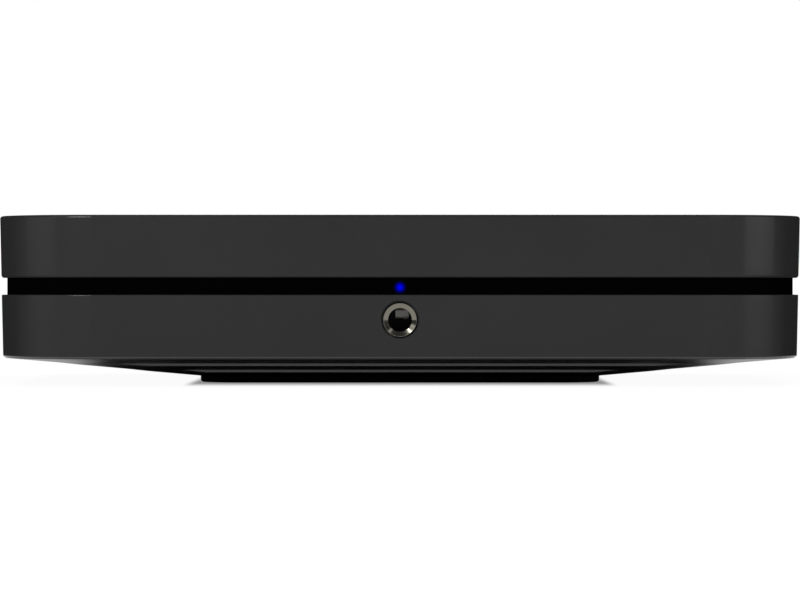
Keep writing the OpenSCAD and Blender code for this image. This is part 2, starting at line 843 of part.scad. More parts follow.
module headphone_body() {
    flange_end = bush_y + bush_flange_l;
    color(moulded_black)
        difference() {
            translate([-jack_w / 2, jack_y, board_top])
                cube([jack_w, jack_l, jack_h]);
            translate([0, 0, jack_z]) {
                along_y(jack_y - over, flange_end, bush_r + thread_gap);
                along_y(jack_y - over, flange_end + bush_nose_l, bush_nose_r + thread_gap);
                along_y(jack_y, bush_y + jack_bore_l, plug_r);
            }
            for (c = jack_springs)
                translate([c.x > 0 ? 0 : -jack_w, c.y - jack_spring_w / 2 - fit,
                    jack_z - jack_spring_t / 2 - fit])
                    cube([jack_w, jack_spring_w + 2 * fit, jack_spring_t + 2 * fit]);
        }
}

// Spring contacts: each lies in a slot beside the bore and turns down to the board
module headphone_contacts() {
    color(gold)
        for (c = jack_springs)
            scale([c.x, 1, 1])
                translate([0, c.y - jack_spring_w / 2, 0]) {
                    box([jack_spring_tip, 0, jack_z - jack_spring_t / 2],
                        [jack_spring_out, jack_spring_w, jack_z + jack_spring_t / 2]);
                    box([jack_spring_out - jack_spring_t, 0, board_top],
                        [jack_spring_out, jack_spring_w, jack_z + jack_spring_t / 2]);
                }
}

// Main board

// Board between two corners, trimmed to the inside of the case and drilled for its screws
module board(from, to, holes) {
    difference() {
        intersection() {
            box([from.x, from.y, board_z], [to.x, to.y, board_top]);
            swept_block([core_x, core_y], block_profile(board_out, board_out, board_z, board_top, 0, 0));
        }
        for (p = holes)
            translate([p.x, p.y, board_z - over])
                cylinder(r = board_screw_r + hole_gap, h = board_t + 2 * over);
    }
}

module main_board() {
    color(board_green)
        difference() {
            board([main_x0, main_y0], [main_x1, board_y1], main_posts_at);
            for (p = case_screws_at)
                translate([p.x, p.y, board_z - over])
                    cylinder(r = pillar_r + hole_gap, h = board_t + 2 * over);
        }
}

module processor_chip() {
    color(chip_black)
        stand(chip_at, board_top, chip);
}

module thermal_pad() {
    color("#8d97a8")
        stand(chip_at, board_top + chip.z, pad);
}

module heat_sink() {
    z = board_top + chip.z + pad.z;
    pitch = (sink.x - fin_t) / (fins - 1);
    color(sink_grey) {
        stand(chip_at, z, [sink.x, sink.y, sink_base]);
        for (i = [0:fins - 1])
            stand(chip_at + [(i - (fins - 1) / 2) * pitch, 0], z, [fin_t, sink.y, sink.z]);
    }
}

module audio_chips() {
    color(chip_black)
        for (i = [0:2])
            stand([right_x - audio_chip.x, audio_chip_y + audio_chip_pitch * i], board_top, audio_chip);
}

// Round capacitors in two columns
module audio_capacitors() {
    color("#3a3f46")
        for (i = [0:can_rows - 1], j = [0, 1])
            translate([right_x - can_r - can_pitch * j, can_y + can_pitch * i, board_top])
                cylinder(r = can_r, h = can_h);
}

module wireless_module() {
    color(tinplate)
        stand([right_x - wireless.x / 2, wireless_y], board_top, wireless);
}

// Two flat antennas on the underside of the top plate
module antennas() {
    color("#b88a3c")
        for (s = [-1, 1])
            stand([s * (case_w / 2 - antenna_inset.x), case_d / 2 - antenna_inset.y],
                z_top - top_t - antenna.z, antenna);
}

// Power board

module power_board() {
    color("#6b5a2b")
        board([psu_x0, psu_y0], [psu_x1, board_y1], psu_posts_at);
}

// Ferrite core: two plates, side limbs and the round limb that carries the coil
module transformer_core() {
    color("#2b2b2d")
        translate([psu_mid_x, coil_y, board_top]) {
            for (z = [0, core.z + coil_h])
                stand([0, 0], z, core);
            for (s = [-1, 1])
                stand([s * (core.x - limb_w) / 2, 0], core.z, [limb_w, core.y, coil_h]);
            translate([0, 0, core.z])
                cylinder(r = limb_r, h = coil_h);
        }
}

module transformer_coil() {
    color("#caa12b")
        translate([psu_mid_x, coil_y, board_top + core.z])
            difference() {
                cylinder(r = coil_r, h = coil_h);
                translate([0, 0, -over])
                    cylinder(r = limb_r + fit, h = coil_h + 2 * over);
            }
}

module mains_capacitor() {
    color("#23272e")
        translate([psu_x1 - piece_gap - mains_cap_r, filter_y, board_top])
            cylinder(r = mains_cap_r, h = mains_cap_h);
}

// Plate with upright fins
module power_heat_sink() {
    pitch = (psu_sink.x - psu_sink_t) / (psu_fins - 1);
    color(sink_grey)
        translate([psu_x0 + piece_gap, plug_y - psu_sink.y / 2, board_top]) {
            cube([psu_sink.x, psu_sink_t, psu_sink.z]);
            for (i = [0:psu_fins - 1])
                translate([i * pitch, 0, 0])
                    cube([psu_sink_t, psu_sink.y, psu_sink.z]);
        }
}

// Ring-core choke lying on the board
module mains_choke() {
    color("#8f4a1f")
        translate([psu_x0 + piece_gap + choke_r, filter_y, board_top + choke_coil_r])
            rotate_extrude()
                translate([choke_ring_r, 0])
                    circle(choke_coil_r);
}

module fuse_tube() {
    color("#cfd6d6", 0.6)
        translate([psu_mid_x, fuse_y, fuse_z])
            along_x(-fuse_l / 2, fuse_l / 2, fuse_r);
}

// Spring clips round the fuse's ends
module fuse_clips() {
    color(tinplate)
        for (s = [-1, 1])
            difference() {
                stand([psu_mid_x + s * (fuse_l - clip_w) / 2, fuse_y], board_top,
                    [clip_w, clip_d, fuse_lift + fuse_r]);
                translate([psu_mid_x, fuse_y, fuse_z])
                    along_x(-fuse_l, fuse_l, fuse_r + thread_gap);
            }
}

// Plugs of the short harness from the power board to the main board
module power_plugs() {
    color(connector_cream)
        for (x = [psu_x1 - plug_inset, main_x0 + plug_inset])
            stand([x, plug_y], board_top, plug);
}

module power_wires() {
    reach = board_gap / 2 + plug_inset;
    color("#a32020")
        for (i = [0:wires - 1])
            translate([split_x, plug_y + (i - (wires - 1) / 2) * wire_pitch, board_top + plug.z])
                rotate([90, 0, 0])
                    rotate_extrude(angle = 180)
                        translate([reach, 0])
                            circle(wire_r);
}

// Rear sockets

module mains_inlet() {
    color(moulded_black)
        difference() {
            translate([socket_x(INLET) - inlet_w / 2, inlet_face - inlet_l, board_top])
                cube([inlet_w, inlet_l, inlet_h]);
            translate([socket_x(INLET), inlet_face - inlet_cavity, inlet_z])
                rotate([90, 0, 180])
                    linear_extrude(inlet_cavity + over)
                        figure_eight();
        }
}

// Mouth of the inlet: two round lobes joined by a straight waist
module figure_eight() {
    for (s = [-1, 1])
        translate([s * inlet_lobe_x, 0])
            circle(inlet_lobe_r);
    square([2 * inlet_lobe_x, inlet_waist], center = true);
}

module mains_pins() {
    color(nickel)
        for (s = [-1, 1])
            translate([socket_x(INLET) + s * pin_pitch / 2, inlet_face - inlet_cavity, inlet_z])
                along_y(0, pin_l, pin_r);
}

// Sheet-metal cover of the network socket
module lan_shield() {
    color(tinplate)
        translate([socket_x(LAN) - lan_w / 2, lan_face - lan_l, board_top])
            difference() {
                cube([lan_w, lan_l, lan_h]);
                translate([sheet_t, -over, -over])
                    cube([lan_w - 2 * sheet_t, lan_l + 2 * over, lan_h - sheet_t + over]);
            }
}

// Moulded insert with the port, the latch's slot and the catch's slot below it
module lan_insert() {
    x = socket_x(LAN);
    half = lan_w / 2 - sheet_t - thread_gap;
    back = lan_face - lan_port.y;
    latch_z = lan_port_z - lan_latch.y;
    color(insert_black)
        difference() {
            box([x - half, lan_face - lan_l + lan_inset, board_top],
                [x + half, lan_face - lan_inset, board_top + lan_h - sheet_t - thread_gap]);
            box([x - lan_port.x / 2, back, lan_port_z],
                [x + lan_port.x / 2, lan_face + over, lan_port_z + lan_port.z]);
            box([x - lan_latch.x / 2, back, latch_z],
                [x + lan_latch.x / 2, lan_face + over, lan_port_z + over]);
            box([x - lan_catch.x / 2, back, latch_z - lan_catch.y],
                [x + lan_catch.x / 2, lan_face + over, lan_port_z]);
        }
}

// Spring wires under the roof of the network socket
module lan_contacts() {
    mid = (lan_wires - 1) / 2;
    color(gold)
        for (i = [0:lan_wires - 1])
            translate([socket_x(LAN) + (i - mid) * lan_pitch - lan_wire.x / 2, lan_face - lan_port.y,
                lan_port_z + lan_port.z - lan_wire.z])
                cube(lan_wire);
}

module usb_shell() {
    color(tinplate)
        translate([socket_x(USB) - usb_w / 2, usb_face - usb_l, board_top])
            difference() {
                cube([usb_w, usb_l, usb_h]);
                translate([sheet_t, sheet_t, sheet_t])
                    cube([usb_w - 2 * sheet_t, usb_l, usb_h - 2 * sheet_t]);
            }
}

// Block at the back of the USB socket with its tongue
module usb_tongue() {
    block = [usb_w - 2 * sheet_t - 2 * thread_gap, usb_block_l, usb_h - 2 * sheet_t - thread_gap];
    color("#f0efe9")
        translate([socket_x(USB), usb_face - usb_l + sheet_t, board_top + sheet_t]) {
            translate([-block.x / 2, 0, 0])
                cube(block);
            translate([-usb_tongue_size.x / 2, 0, block.z - usb_tongue_size.z - usb_tongue_gap])
                cube(usb_tongue_size);
        }
}

// Outline of the HDMI socket: square above, cut in at the lower corners
function hdmi_outline(w, h, cut) = [[-w / 2, h], [-w / 2, hdmi_shoulder * h], [cut - w / 2, 0],
    [w / 2 - cut, 0], [w / 2, hdmi_shoulder * h], [w / 2, h]];

module hdmi_shell() {
    color(tinplate)
        translate([socket_x(HDMI), usb_face - hdmi_l, board_top])
            rotate([90, 0, 180])
                difference() {
                    linear_extrude(hdmi_l)
                        polygon(hdmi_outline(hdmi_w, hdmi_h, hdmi_cut));
                    translate([0, sheet_t, sheet_t])
                        linear_extrude(hdmi_l)
                            polygon(hdmi_outline(hdmi_w - 2 * sheet_t, hdmi_h - 2 * sheet_t,
                                hdmi_cut_inner));
                }
}

// Block at the back of the HDMI socket with its tongue
module hdmi_tongue() {
    block_h = hdmi_h - 2 * sheet_t - 2 * thread_gap;
    color(insert_black)
        translate([socket_x(HDMI) - hdmi_tongue_size.x / 2, usb_face - hdmi_l + sheet_t,
            board_top + hdmi_h / 2]) {
            translate([0, 0, -block_h / 2])
                cube([hdmi_tongue_size.x, hdmi_block_l, block_h]);
            translate([0, 0, -hdmi_tongue_drop])
                cube(hdmi_tongue_size);
        }
}

// Optical socket

module optical_body() {
    x = socket_x(OPTICAL);
    half = optical_cavity / 2;
    color(insert_black)
        difference() {
            box([x - optical_w / 2, optical_face - optical_l, board_top],
                [x + optical_w / 2, optical_face, board_top + optical_h]);
            box([x - half.x, optical_back, optical_z - half.z], [x + half.x, optical_in, optical_z + half.z]);
            box([x - optical_mouth / 2, optical_in - over, optical_z - optical_mouth / 2],
                [x + optical_mouth / 2, optical_face + over, optical_z + optical_mouth / 2]);
            translate([x, pivot_y, pivot_z])
                along_x(-optical_w, optical_w, trunnion_r + pivot_gap);
        }
}

// Shutter: a thin door under a round knuckle, with a trunnion at each end
module optical_shutter() {
    half = shutter_w / 2;
    door_y = optical_in - shutter_gap - shutter_t - pivot_y;
    color("#232326")
        translate([socket_x(OPTICAL), pivot_y, pivot_z]) {
            box([-half, door_y, -shutter_h], [half, door_y + shutter_t, 0]);
            along_x(-half, half, knuckle_r);
            along_x(-half - trunnion_l, half + trunnion_l, trunnion_r);
        }
}

module optical_emitter() {
    color("#b02020")
        translate([socket_x(OPTICAL), optical_back, optical_z])
            along_y(0, emitter_l, emitter_r);
}

// Small jack socket: a moulded body on the board with a round nose through the panel
module mini_jack(i) {
    color(moulded_black)
        difference() {
            union() {
                translate([socket_x(i) - mini_w / 2, panel_in - fit - mini_body_l, board_top])
                    cube([mini_w, mini_body_l, 2 * mini_axis_h]);
                translate([socket_x(i), 0, mini_z])
                    along_y(panel_in - over, mini_face, mini_nose_r);
            }
            translate([socket_x(i), 0, mini_z])
                along_y(mini_face - mini_bore_l, mini_face + over, mini_r);
        }
}

module audio_in_jack() {
    mini_jack(AUDIO_IN);
}

module trigger_jack() {
    mini_jack(TRIGGER);
}

module infrared_jack() {
    mini_jack(INFRARED);
}

// Phono sockets

// Moulded block on the board, behind the row of phono sockets
module phono_block() {
    color(moulded_black)
        box([socket_x(COAX) - phono_w / 2, phono_block_y - phono_block_l, board_top],
            [socket_x(LEFT) + phono_w / 2, phono_block_y, phono_z + phono_flange_r + phono_block_cap]);
}

// Barrels, each with a flange behind the panel and a neck through it
module phono_barrels() {
    neck = panel_y - phono_block_y;
    tip = phono_tip - phono_block_y;
    color(nickel)
        for (i = [COAX:LEFT])
            translate([socket_x(i), phono_block_y, phono_z])
                rotate([-90, 0, 0])
                    rotate_extrude()
                        polygon([[phono_bore_r, 0], [phono_flange_r, 0], [phono_flange_r, phono_flange_t],
                            [phono_neck_r, phono_flange_t], [phono_neck_r, neck], [phono_r, neck],
                            [phono_r, tip - phono_edge], [phono_r - phono_edge, tip],
                            [phono_bore_r, tip]]);
}

// Coloured insulator inside a barrel, bored for the plug's pin and wider behind for its contact
module phono_insulator(i, shade) {
    out_r = phono_bore_r - thread_gap;
    seat_r = contact_r + thread_gap;
    seat_l = contact_l + thread_gap;
    length = phono_tip - phono_block_y - phono_recess;
    color(shade)
        translate([socket_x(i), phono_block_y, phono_z])
            rotate([-90, 0, 0])
                rotate_extrude()
                    polygon([[seat_r, 0], [out_r, 0], [out_r, length], [phono_pin_r, length],
                        [phono_pin_r, seat_l], [seat_r, seat_l]]);
}

module phono_insulator_coax() {
    phono_insulator(COAX, "#e07818");
}

module phono_insulator_sub() {
    phono_insulator(SUB, "#101010");
}

module phono_insulator_right() {
    phono_insulator(RIGHT, "#c01818");
}

module phono_insulator_left() {
    phono_insulator(LEFT, "#efefef");
}

// Cups that grip the plugs' pins
module phono_contacts() {
    color(gold)
        for (i = [COAX:LEFT])
            translate([socket_x(i), phono_block_y, phono_z])
                rotate([-90, 0, 0])
                    difference() {
                        cylinder(r = contact_r, h = contact_l);
                        translate([0, 0, contact_base])
                            cylinder(r = phono_pin_r, h = contact_l);
                    }
}

// Fasteners

module case_screws() {
    head_z = foot_h + case_head_sink;
    shank_z = head_z + case_head_h - lip;
    color(tinplate)
        for (p = case_screws_at)
            translate([p.x, p.y, 0]) {
                translate([0, 0, head_z])
                    cylinder(r = case_head_r, h = case_head_h);
                translate([0, 0, shank_z])
                    cylinder(r = case_screw_r, h = z_cover0 + case_bite - shank_z);
            }
}

module board_screws() {
    color(tinplate)
        for (p = posts_at)
            translate([p.x, p.y, board_top]) {
                cylinder(r = board_head_r, h = board_head_h);
                translate([0, 0, -board_t - board_bite])
                    cylinder(r = board_screw_r, h = board_t + board_bite + lip);
            }
}

top_shell();
lower_shell();
centre_band();
rubber_foot();
rear_panel();
touch_glass();
touch_gasket();
touch_board();
touch_ribbon();
ribbon_sockets();
status_lamp();
lamp_board();
lamp_pins();
headphone_bush();
headphone_body();
headphone_contacts();
main_board();
processor_chip();
thermal_pad();
heat_sink();
audio_chips();
audio_capacitors();
wireless_module();
antennas();
power_board();
transformer_core();
transformer_coil();
mains_capacitor();
power_heat_sink();
mains_choke();
fuse_tube();
fuse_clips();
power_plugs();
power_wires();
mains_inlet();
mains_pins();
lan_shield();
lan_insert();
lan_contacts();
usb_shell();
usb_tongue();
hdmi_shell();
hdmi_tongue();
optical_body();
optical_shutter();
optical_emitter();
audio_in_jack();
trigger_jack();
infrared_jack();
phono_block();
phono_barrels();
phono_insulator_coax();
phono_insulator_sub();
phono_insulator_right();
phono_insulator_left();
phono_contacts();
case_screws();
board_screws();
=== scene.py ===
import json
import math

import bmesh
import bpy
from mathutils import Matrix, Vector


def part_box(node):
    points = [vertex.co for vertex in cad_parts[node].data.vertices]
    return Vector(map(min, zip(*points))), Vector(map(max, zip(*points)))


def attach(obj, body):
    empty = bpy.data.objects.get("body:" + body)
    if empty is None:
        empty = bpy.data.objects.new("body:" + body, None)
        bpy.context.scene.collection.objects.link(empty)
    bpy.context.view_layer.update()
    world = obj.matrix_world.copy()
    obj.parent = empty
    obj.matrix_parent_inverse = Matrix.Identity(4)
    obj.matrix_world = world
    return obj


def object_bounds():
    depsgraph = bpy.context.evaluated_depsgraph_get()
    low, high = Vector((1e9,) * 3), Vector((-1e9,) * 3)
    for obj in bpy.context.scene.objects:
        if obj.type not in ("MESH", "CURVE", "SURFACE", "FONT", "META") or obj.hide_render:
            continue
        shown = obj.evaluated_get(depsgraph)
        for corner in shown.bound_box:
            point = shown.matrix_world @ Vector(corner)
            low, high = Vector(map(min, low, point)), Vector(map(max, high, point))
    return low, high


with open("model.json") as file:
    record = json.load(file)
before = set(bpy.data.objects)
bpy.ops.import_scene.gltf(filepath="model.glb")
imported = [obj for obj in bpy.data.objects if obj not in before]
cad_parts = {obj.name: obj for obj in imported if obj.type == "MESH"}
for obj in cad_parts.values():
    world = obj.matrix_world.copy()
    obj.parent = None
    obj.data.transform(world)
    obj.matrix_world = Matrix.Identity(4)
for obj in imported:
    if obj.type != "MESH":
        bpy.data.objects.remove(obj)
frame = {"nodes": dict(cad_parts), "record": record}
nodes = frame["nodes"]
cad_low, cad_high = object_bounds()
MM = 0.001
HOUSING = "housing"


# Node helpers

# Numbers of the Mix node's colour sockets
MIX_A, MIX_B, MIX_RESULT = 6, 7, 2
# Noise seldom goes past these values
NOISE_LOW, NOISE_HIGH = 0.3, 0.7


def add(tree, kind, links=(), **settings):
    """A node of that kind with its settings; links are pairs of an input and a value or socket."""
    node = tree.nodes.new("ShaderNode" + kind)
    for key, value in settings.items():
        setattr(node, key, value)
    for key, source in links:
        if isinstance(source, bpy.types.NodeSocket):
            tree.links.new(source, node.inputs[key])
        else:
            node.inputs[key].default_value = source
    return node


def calc(tree, operation, *values):
    """The result of a Math node on numbers or sockets."""
    return add(tree, "Math", enumerate(values), operation=operation).outputs[0]


def vector_calc(tree, operation, *values, result="Vector"):
    return add(tree, "VectorMath", enumerate(values), operation=operation).outputs[result]


def scaled(tree, vector, share):
    """A vector or colour times a share."""
    return add(tree, "VectorMath", [(0, vector), ("Scale", share)], operation="SCALE").outputs["Vector"]


def own_place(tree):
    """Where a point lies in the object's own coordinates, in metres."""
    return add(tree, "TexCoord").outputs["Object"]


def along_axes(tree, vector):
    return add(tree, "SeparateXYZ", [("Vector", vector)]).outputs


def noise(tree, vector, scale, detail=2.0, rough=0.5):
    return add(tree, "TexNoise", [("Vector", vector), ("Scale", scale), ("Detail", detail),
                                  ("Roughness", rough)]).outputs["Fac"]


def ramp(tree, value, start, end, low, high, kind="LINEAR"):
    """low up to the start value, then rising or falling to high at the end value."""
    return add(tree, "MapRange", [("Value", value), ("From Min", start), ("From Max", end), ("To Min", low),
                                  ("To Max", high)], interpolation_type=kind).outputs["Result"]


def spread_about(tree, grain, middle, spread):
    """middle less spread where a noise is low, and plus spread where it is high."""
    low = calc(tree, "SUBTRACT", middle, spread)
    high = calc(tree, "ADD", middle, spread)
    return ramp(tree, grain, NOISE_LOW, NOISE_HIGH, low, high)


def toned(tree, tone, grain, spread):
    """tone lightened and darkened by a share of itself."""
    return scaled(tree, tone, spread_about(tree, grain, 1.0, spread))


def mixed_colour(tree, share, first, second):
    """first where the share is 0, second where it is 1."""
    mix = add(tree, "Mix", [(MIX_A, first), (MIX_B, second), ("Factor", share)], data_type="RGBA")
    return mix.outputs[MIX_RESULT]


# Shader groups: effects that several finishes share

DRIFT_SCALE = 28.0
CLOUD_SCALE = 160.0
WEAVE_SCALE = 1400.0
# Marks run along X: there the pattern is drawn out
MARK_STRETCH = (0.06, 1, 1)
# Distances from a cell's border, in cells, between which a track ends
TRACK_EDGE = (0.05, 0.09)


def new_group(name, inputs):
    """A group that gives a surface's colour, roughness and height; inputs hold (name, type, default)."""
    tree = bpy.data.node_groups.new(name, "ShaderNodeTree")
    for label, kind, default in inputs:
        socket = tree.interface.new_socket(label, in_out="INPUT", socket_type="NodeSocket" + kind)
        socket.default_value = default
    for label, kind in (("Color", "Color"), ("Roughness", "Float"), ("Height", "Float")):
        tree.interface.new_socket(label, in_out="OUTPUT", socket_type="NodeSocket" + kind)
    return tree, tree.nodes.new("NodeGroupInput").outputs


def give_out(tree, colour, rough, height):
    made = tree.nodes.new("NodeGroupOutput").inputs
    tree.links.new(colour, made["Color"])
    tree.links.new(rough, made["Roughness"])
    tree.links.new(height, made["Height"])


def moulded_grain():
    """Fine spark-eroded texture of moulded plastic, with a slow drift of tone and gloss."""
    tree, given = new_group("moulded_grain", [
        ("Tone", "Color", (0.5, 0.5, 0.5, 1)), ("Tone Spread", "Float", 0.05),
        ("Grain Scale", "Float", 3000.0), ("Roughness", "Float", 0.5), ("Roughness Spread", "Float", 0.05)])
    grain = noise(tree, own_place(tree), given["Grain Scale"], detail=3.0, rough=0.6)
    drift = noise(tree, own_place(tree), DRIFT_SCALE)
    mean = calc(tree, "MULTIPLY", calc(tree, "ADD", grain, drift), 0.5)
    give_out(tree, toned(tree, given["Tone"], drift, given["Tone Spread"]),
             spread_about(tree, mean, given["Roughness"], given["Roughness Spread"]), grain)
    return tree


def plated_metal():
    """Drawn or turned metal: fine marks along one direction and a slow cloudiness of the plating."""
    tree, given = new_group("plated_metal", [
        ("Tone", "Color", (0.6, 0.6, 0.6, 1)), ("Tone Spread", "Float", 0.05),
        ("Mark Scale", "Float", 900.0), ("Roughness", "Float", 0.2), ("Roughness Spread", "Float", 0.05)])
    drawn = vector_calc(tree, "MULTIPLY", own_place(tree), MARK_STRETCH)
    marks = noise(tree, drawn, given["Mark Scale"], detail=4.0, rough=0.65)
    cloud = noise(tree, own_place(tree), CLOUD_SCALE)
    give_out(tree, toned(tree, given["Tone"], cloud, given["Tone Spread"]),
             spread_about(tree, marks, given["Roughness"], given["Roughness Spread"]), marks)
    return tree


def laminate_tracks():
    """Lacquered board: tracks under the lacquer as a network of cells, and the weave of the laminate."""
    tree, given = new_group("laminate_tracks", [
        ("Tone", "Color", (0.01, 0.09, 0.03, 1)), ("Track Tone", "Color", (0.03, 0.16, 0.06, 1)),
        ("Track Scale", "Float", 260.0), ("Roughness", "Float", 0.35), ("Roughness Spread", "Float", 0.06)])
    cells = add(tree, "TexVoronoi", [("Vector", own_place(tree)), ("Scale", given["Track Scale"])],
                feature="DISTANCE_TO_EDGE", distance="EUCLIDEAN").outputs["Distance"]
    track = ramp(tree, cells, *TRACK_EDGE, 1.0, 0.0)
    weave = noise(tree, own_place(tree), WEAVE_SCALE)
    give_out(tree, mixed_colour(tree, track, given["Tone"], given["Track Tone"]),
             spread_about(tree, weave, given["Roughness"], given["Roughness Spread"]), track)
    return tree


GRAIN = moulded_grain()
PLATED = plated_metal()
LAMINATE = laminate_tracks()


# Finishes: one material for each slot of the record

def start_material(name):
    mat = bpy.data.materials.new(name)
    mat.use_nodes = True
    tree = mat.node_tree
    return mat, tree, tree.nodes["Principled BSDF"]


def set_plain(shader, values):
    """Values that are the same all over a surface, set on the shader's own sockets."""
    for label, value in values.items():
        shader.inputs[label].default_value = value


def finish_from(group, name, values, bump, plain):
    """A material whose colour, roughness and relief come from a group; bump is its strength and depth."""
    mat, tree, shader = start_material(name)
    effect = add(tree, "Group", values.items(), node_tree=group).outputs
    strength, depth = bump
    relief = add(tree, "Bump", [("Height", effect["Height"]), ("Strength", strength), ("Distance", depth)])
    tree.links.new(effect["Color"], shader.inputs["Base Color"])
    tree.links.new(effect["Roughness"], shader.inputs["Roughness"])
    tree.links.new(relief.outputs["Normal"], shader.inputs["Normal"])
    set_plain(shader, plain)
    return mat


def moulded(name, tone, rough, grain=3000.0, spread=0.06, rough_spread=0.05, bump=(0.25, 0.02 * MM),
            specular=0.5):
    values = {"Tone": (*tone, 1), "Tone Spread": spread, "Grain Scale": grain, "Roughness": rough,
              "Roughness Spread": rough_spread}
    return finish_from(GRAIN, name, values, bump, {"Specular IOR Level": specular})


def plated(name, tone, rough, marks=900.0, spread=0.05, rough_spread=0.05, bump=(0.15, 0.01 * MM)):
    values = {"Tone": (*tone, 1), "Tone Spread": spread, "Mark Scale": marks, "Roughness": rough,
              "Roughness Spread": rough_spread}
    return finish_from(PLATED, name, values, bump, {"Metallic": 1.0})


def laminate(name, tone, track, rough, bump=(0.3, 0.03 * MM)):
    values = {"Tone": (*tone, 1), "Track Tone": (*track, 1), "Roughness": rough}
    return finish_from(LAMINATE, name, values, bump, {})


HAZE_SCALE = 240.0


def clear_glass(name, tone, rough):
    mat, tree, shader = start_material(name)
    haze = noise(tree, own_place(tree), HAZE_SCALE, detail=3.0)
    tree.links.new(spread_about(tree, haze, rough, rough / 2), shader.inputs["Roughness"])
    set_plain(shader, {"Base Color": (*tone, 1), "Transmission Weight": 1.0, "IOR": 1.5})
    return mat


def glow_about(mat, tone, point, start, end, near, far):
    """Light given off around a point: near times the tone up to the start distance, then falling to far."""
    tree = mat.node_tree
    shader = tree.nodes["Principled BSDF"]
    reach = vector_calc(tree, "DISTANCE", own_place(tree), point, result="Value")
    share = ramp(tree, reach, start, end, near, far, "SMOOTHSTEP")
    tree.links.new(scaled(tree, tone, share), shader.inputs["Emission Color"])
    set_plain(shader, {"Emission Strength": 1.0})


# A lamp lens: its unlit tone as a share of its light, its core and rim in radii, and the rim's light
LENS_BODY = 0.02
LENS_CORE, LENS_RIM = 0.4, 1.05
LENS_RIM_LIGHT = 0.12


def lit_lens(name, tone, point, radius):
    """Lamp lens that is brightest in the middle of its face and fades to its rim."""
    mat = moulded(name, [LENS_BODY * c for c in tone], 0.5, specular=0.0)
    glow_about(mat, tone, point, LENS_CORE * radius, LENS_RIM * radius, 1.0, LENS_RIM_LIGHT)
    return mat


CASE_TONE = (0.0168, 0.0168, 0.017)
# Painted shade: the underside's tone, darker, as a share of the walls'
UNDERSIDE_SHADE_SHARE = 0.4
# Heights between which the underside's finish and painted shade give way to the walls'
UNDERSIDE_TOP = (7.6 * MM, 8.0 * MM)
# Upward part of the normal on a slope and on a step
SLOPE_TO_STEP = (-0.97, -0.7)
SLOPE_POLISH = 0.12
# Distances from the middle between which the slopes become wings
WING_START = (60 * MM, 78 * MM)
WING_POLISH = 0.62
# The wall's lower edge: heights where its dull half starts and ends, and where that runs out at the sides
DULL_START = (6.5 * MM, 6.8 * MM)
DULL_END = (7.3 * MM, 7.42 * MM)
DULL_SIDE = (72 * MM, 90 * MM)
DULL_POLISH = 0.42
# The walls' satin, and the Facing values up to which it is full and where it ends
SATIN = 0.2
SATIN_FACING = (0.2, 0.5)


def case_plastic():
    """Satin moulded plastic of both shells, darkened on the underside by painted shade. The underside comes
    polished
    from its mould: the steps fully, the wings at both ends and the lower half of the wall's edge less so,
    the slopes between them least."""
    mat = moulded("case_plastic", CASE_TONE, 0.62, grain=2600.0, spread=0.05, rough_spread=0.03,
                  bump=(0.12, 0.02 * MM), specular=0.0)
    tree = mat.node_tree
    shader = tree.nodes["Principled BSDF"]
    set_plain(shader, {"Coat Roughness": 0.18, "Coat IOR": 1.7})
    where = along_axes(tree, own_place(tree))
    normal = along_axes(tree, add(tree, "NewGeometry").outputs["Normal"])
    aside = calc(tree, "ABSOLUTE", where["X"])
    under = ramp(tree, where["Z"], *UNDERSIDE_TOP, 1.0, 0.0)
    upright = ramp(tree, normal["Z"], *SLOPE_TO_STEP, SLOPE_POLISH, 1.0)
    below_dull = ramp(tree, where["Z"], *DULL_START, 1.0, DULL_POLISH)
    above_dull = ramp(tree, where["Z"], *DULL_END, 0.0, 1.0)
    beside_dull = ramp(tree, aside, *DULL_SIDE, 0.0, 1.0)
    clear_of_dull = calc(tree, "MAXIMUM", calc(tree, "MAXIMUM", below_dull, beside_dull), above_dull)
    wing = ramp(tree, aside, *WING_START, SLOPE_POLISH, WING_POLISH)
    best = calc(tree, "MAXIMUM", calc(tree, "MULTIPLY", upright, clear_of_dull), wing)
    polish = calc(tree, "MULTIPLY", under, best)
    grained = shader.inputs["Base Color"].links[0].from_socket
    # Painted shade: the underside's base colour is darkened to a share of the walls'
    underside_shade = (*[UNDERSIDE_SHADE_SHARE * c for c in CASE_TONE], 1)
    tree.links.new(mixed_colour(tree, under, grained, underside_shade), shader.inputs["Base Color"])
    facing = add(tree, "LayerWeight", [("Blend", 0.5)]).outputs["Facing"]
    satin = ramp(tree, facing, *SATIN_FACING, SATIN, 0.0)
    tree.links.new(calc(tree, "MAXIMUM", polish, satin), shader.inputs["Coat Weight"])
    return mat


def face_middle(node, back=False):
    """The middle of a node's front or back face."""
    low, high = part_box(node)
    return ((low.x + high.x) / 2, high.y if back else low.y, (low.z + high.z) / 2)


LAMP_AT = face_middle("status_lamp")
LAMP_R = 1.2 * MM
LAMP_TONE = (0.0, 0.001, 0.7)
# Painted glow of the lamp's light on the band around it: its reach and its strength
PAINTED_GLOW_R = 1.9 * MM
PAINTED_GLOW = 0.1
EMITTER_AT = face_middle("optical_emitter", back=True)
EMITTER_R = 1.5 * MM
EMITTER_TONE = (0.6, 0.012, 0.006)

